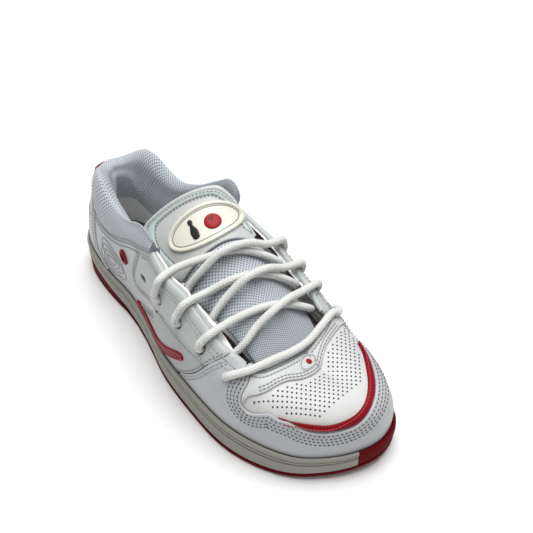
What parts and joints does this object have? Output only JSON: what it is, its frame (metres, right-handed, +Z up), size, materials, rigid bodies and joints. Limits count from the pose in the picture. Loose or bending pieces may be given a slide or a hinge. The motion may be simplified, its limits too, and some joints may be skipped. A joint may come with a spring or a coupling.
{
  "type": "bowling shoe",
  "caption": "Low laced bowling shoe for the right foot: stitched leather upper, padded mesh collar, flat rubber cupsole and a tongue whose top folds forward.",
  "frame": {"origin": "on the flat underside of the outsole, midway along the shoe's length and on its long centre line", "axes": "+X towards the toe, +Y towards the inner side of the foot, +Z up"},
  "size_m": [0.3, 0.1059, 0.1238],
  "materials": {
    "rubber_red": "satin rubber",
    "rubber_side": "satin off-white rubber",
    "board": "matt pressed fibre board",
    "sock": "smooth woven top",
    "lining": "knitted lining",
    "perforated": "smooth, pierced with small dots",
    "leather_white": "smooth coated leather",
    "leather_grey": "smooth coated leather",
    "leather_pale": "smooth coated leather",
    "trim_red": "satin",
    "mesh": "dotted spacer mesh over foam",
    "elastic": "ribbed elastic",
    "badge": "satin moulded rubber",
    "mark_black": "satin",
    "lace_white": "round braid"
  },
  "bodies": {
    "shoe": {"outsole": "rubber_red", "heel_wedge": "rubber_red", "sidewall_cup": "rubber_side", "toe_bumper": "rubber_red", "insole_board": "board", "sockliner": "sock", "quarter_lining": "lining", "vamp_lining": "lining", "vamp": "perforated", "quarter_lateral": "leather_white", "quarter_medial": "leather_white", "heel_counter": "leather_grey", "heel_band": "leather_grey", "ankle_panel_lateral": "leather_grey", "ankle_panel_medial": "leather_grey", "eyestay_lateral": "leather_pale", "eyestay_medial": "leather_pale", "side_panel_lateral": "leather_white", "side_panel_medial": "leather_white", "side_stripe_lateral": "trim_red", "side_stripe_medial": "trim_red", "heel_piping_lateral": "leather_white", "heel_piping_medial": "leather_white", "ankle_ring_lateral": "trim_red", "ankle_ring_medial": "trim_red", "toe_cap": "leather_grey", "vamp_yoke": "leather_white", "toe_stripe": "trim_red", "collar": "mesh", "heel_tab": "trim_red", "tongue_lower": "mesh", "gusset_lateral": "elastic", "gusset_medial": "elastic", "lace": "lace_white"},
    "tongue_flap": {"tongue_flap_panel": "leather_white", "tongue_flap_pad": "mesh", "tongue_flap_lining": "lining", "tongue_binding": "leather_white", "badge_plate": "badge", "badge_pin": "mark_black", "badge_ball": "trim_red"}
  },
  "joints": [
    {"name": "tongue_fold", "type": "hinge", "parent": "shoe", "child": "tongue_flap", "pos_m": [0.014, 0, 0.1025], "axis": [0.27, 0.926, 0.264], "range_deg": [0, 35], "stiffness_Nm_per_rad": 0.3}
  ]
}
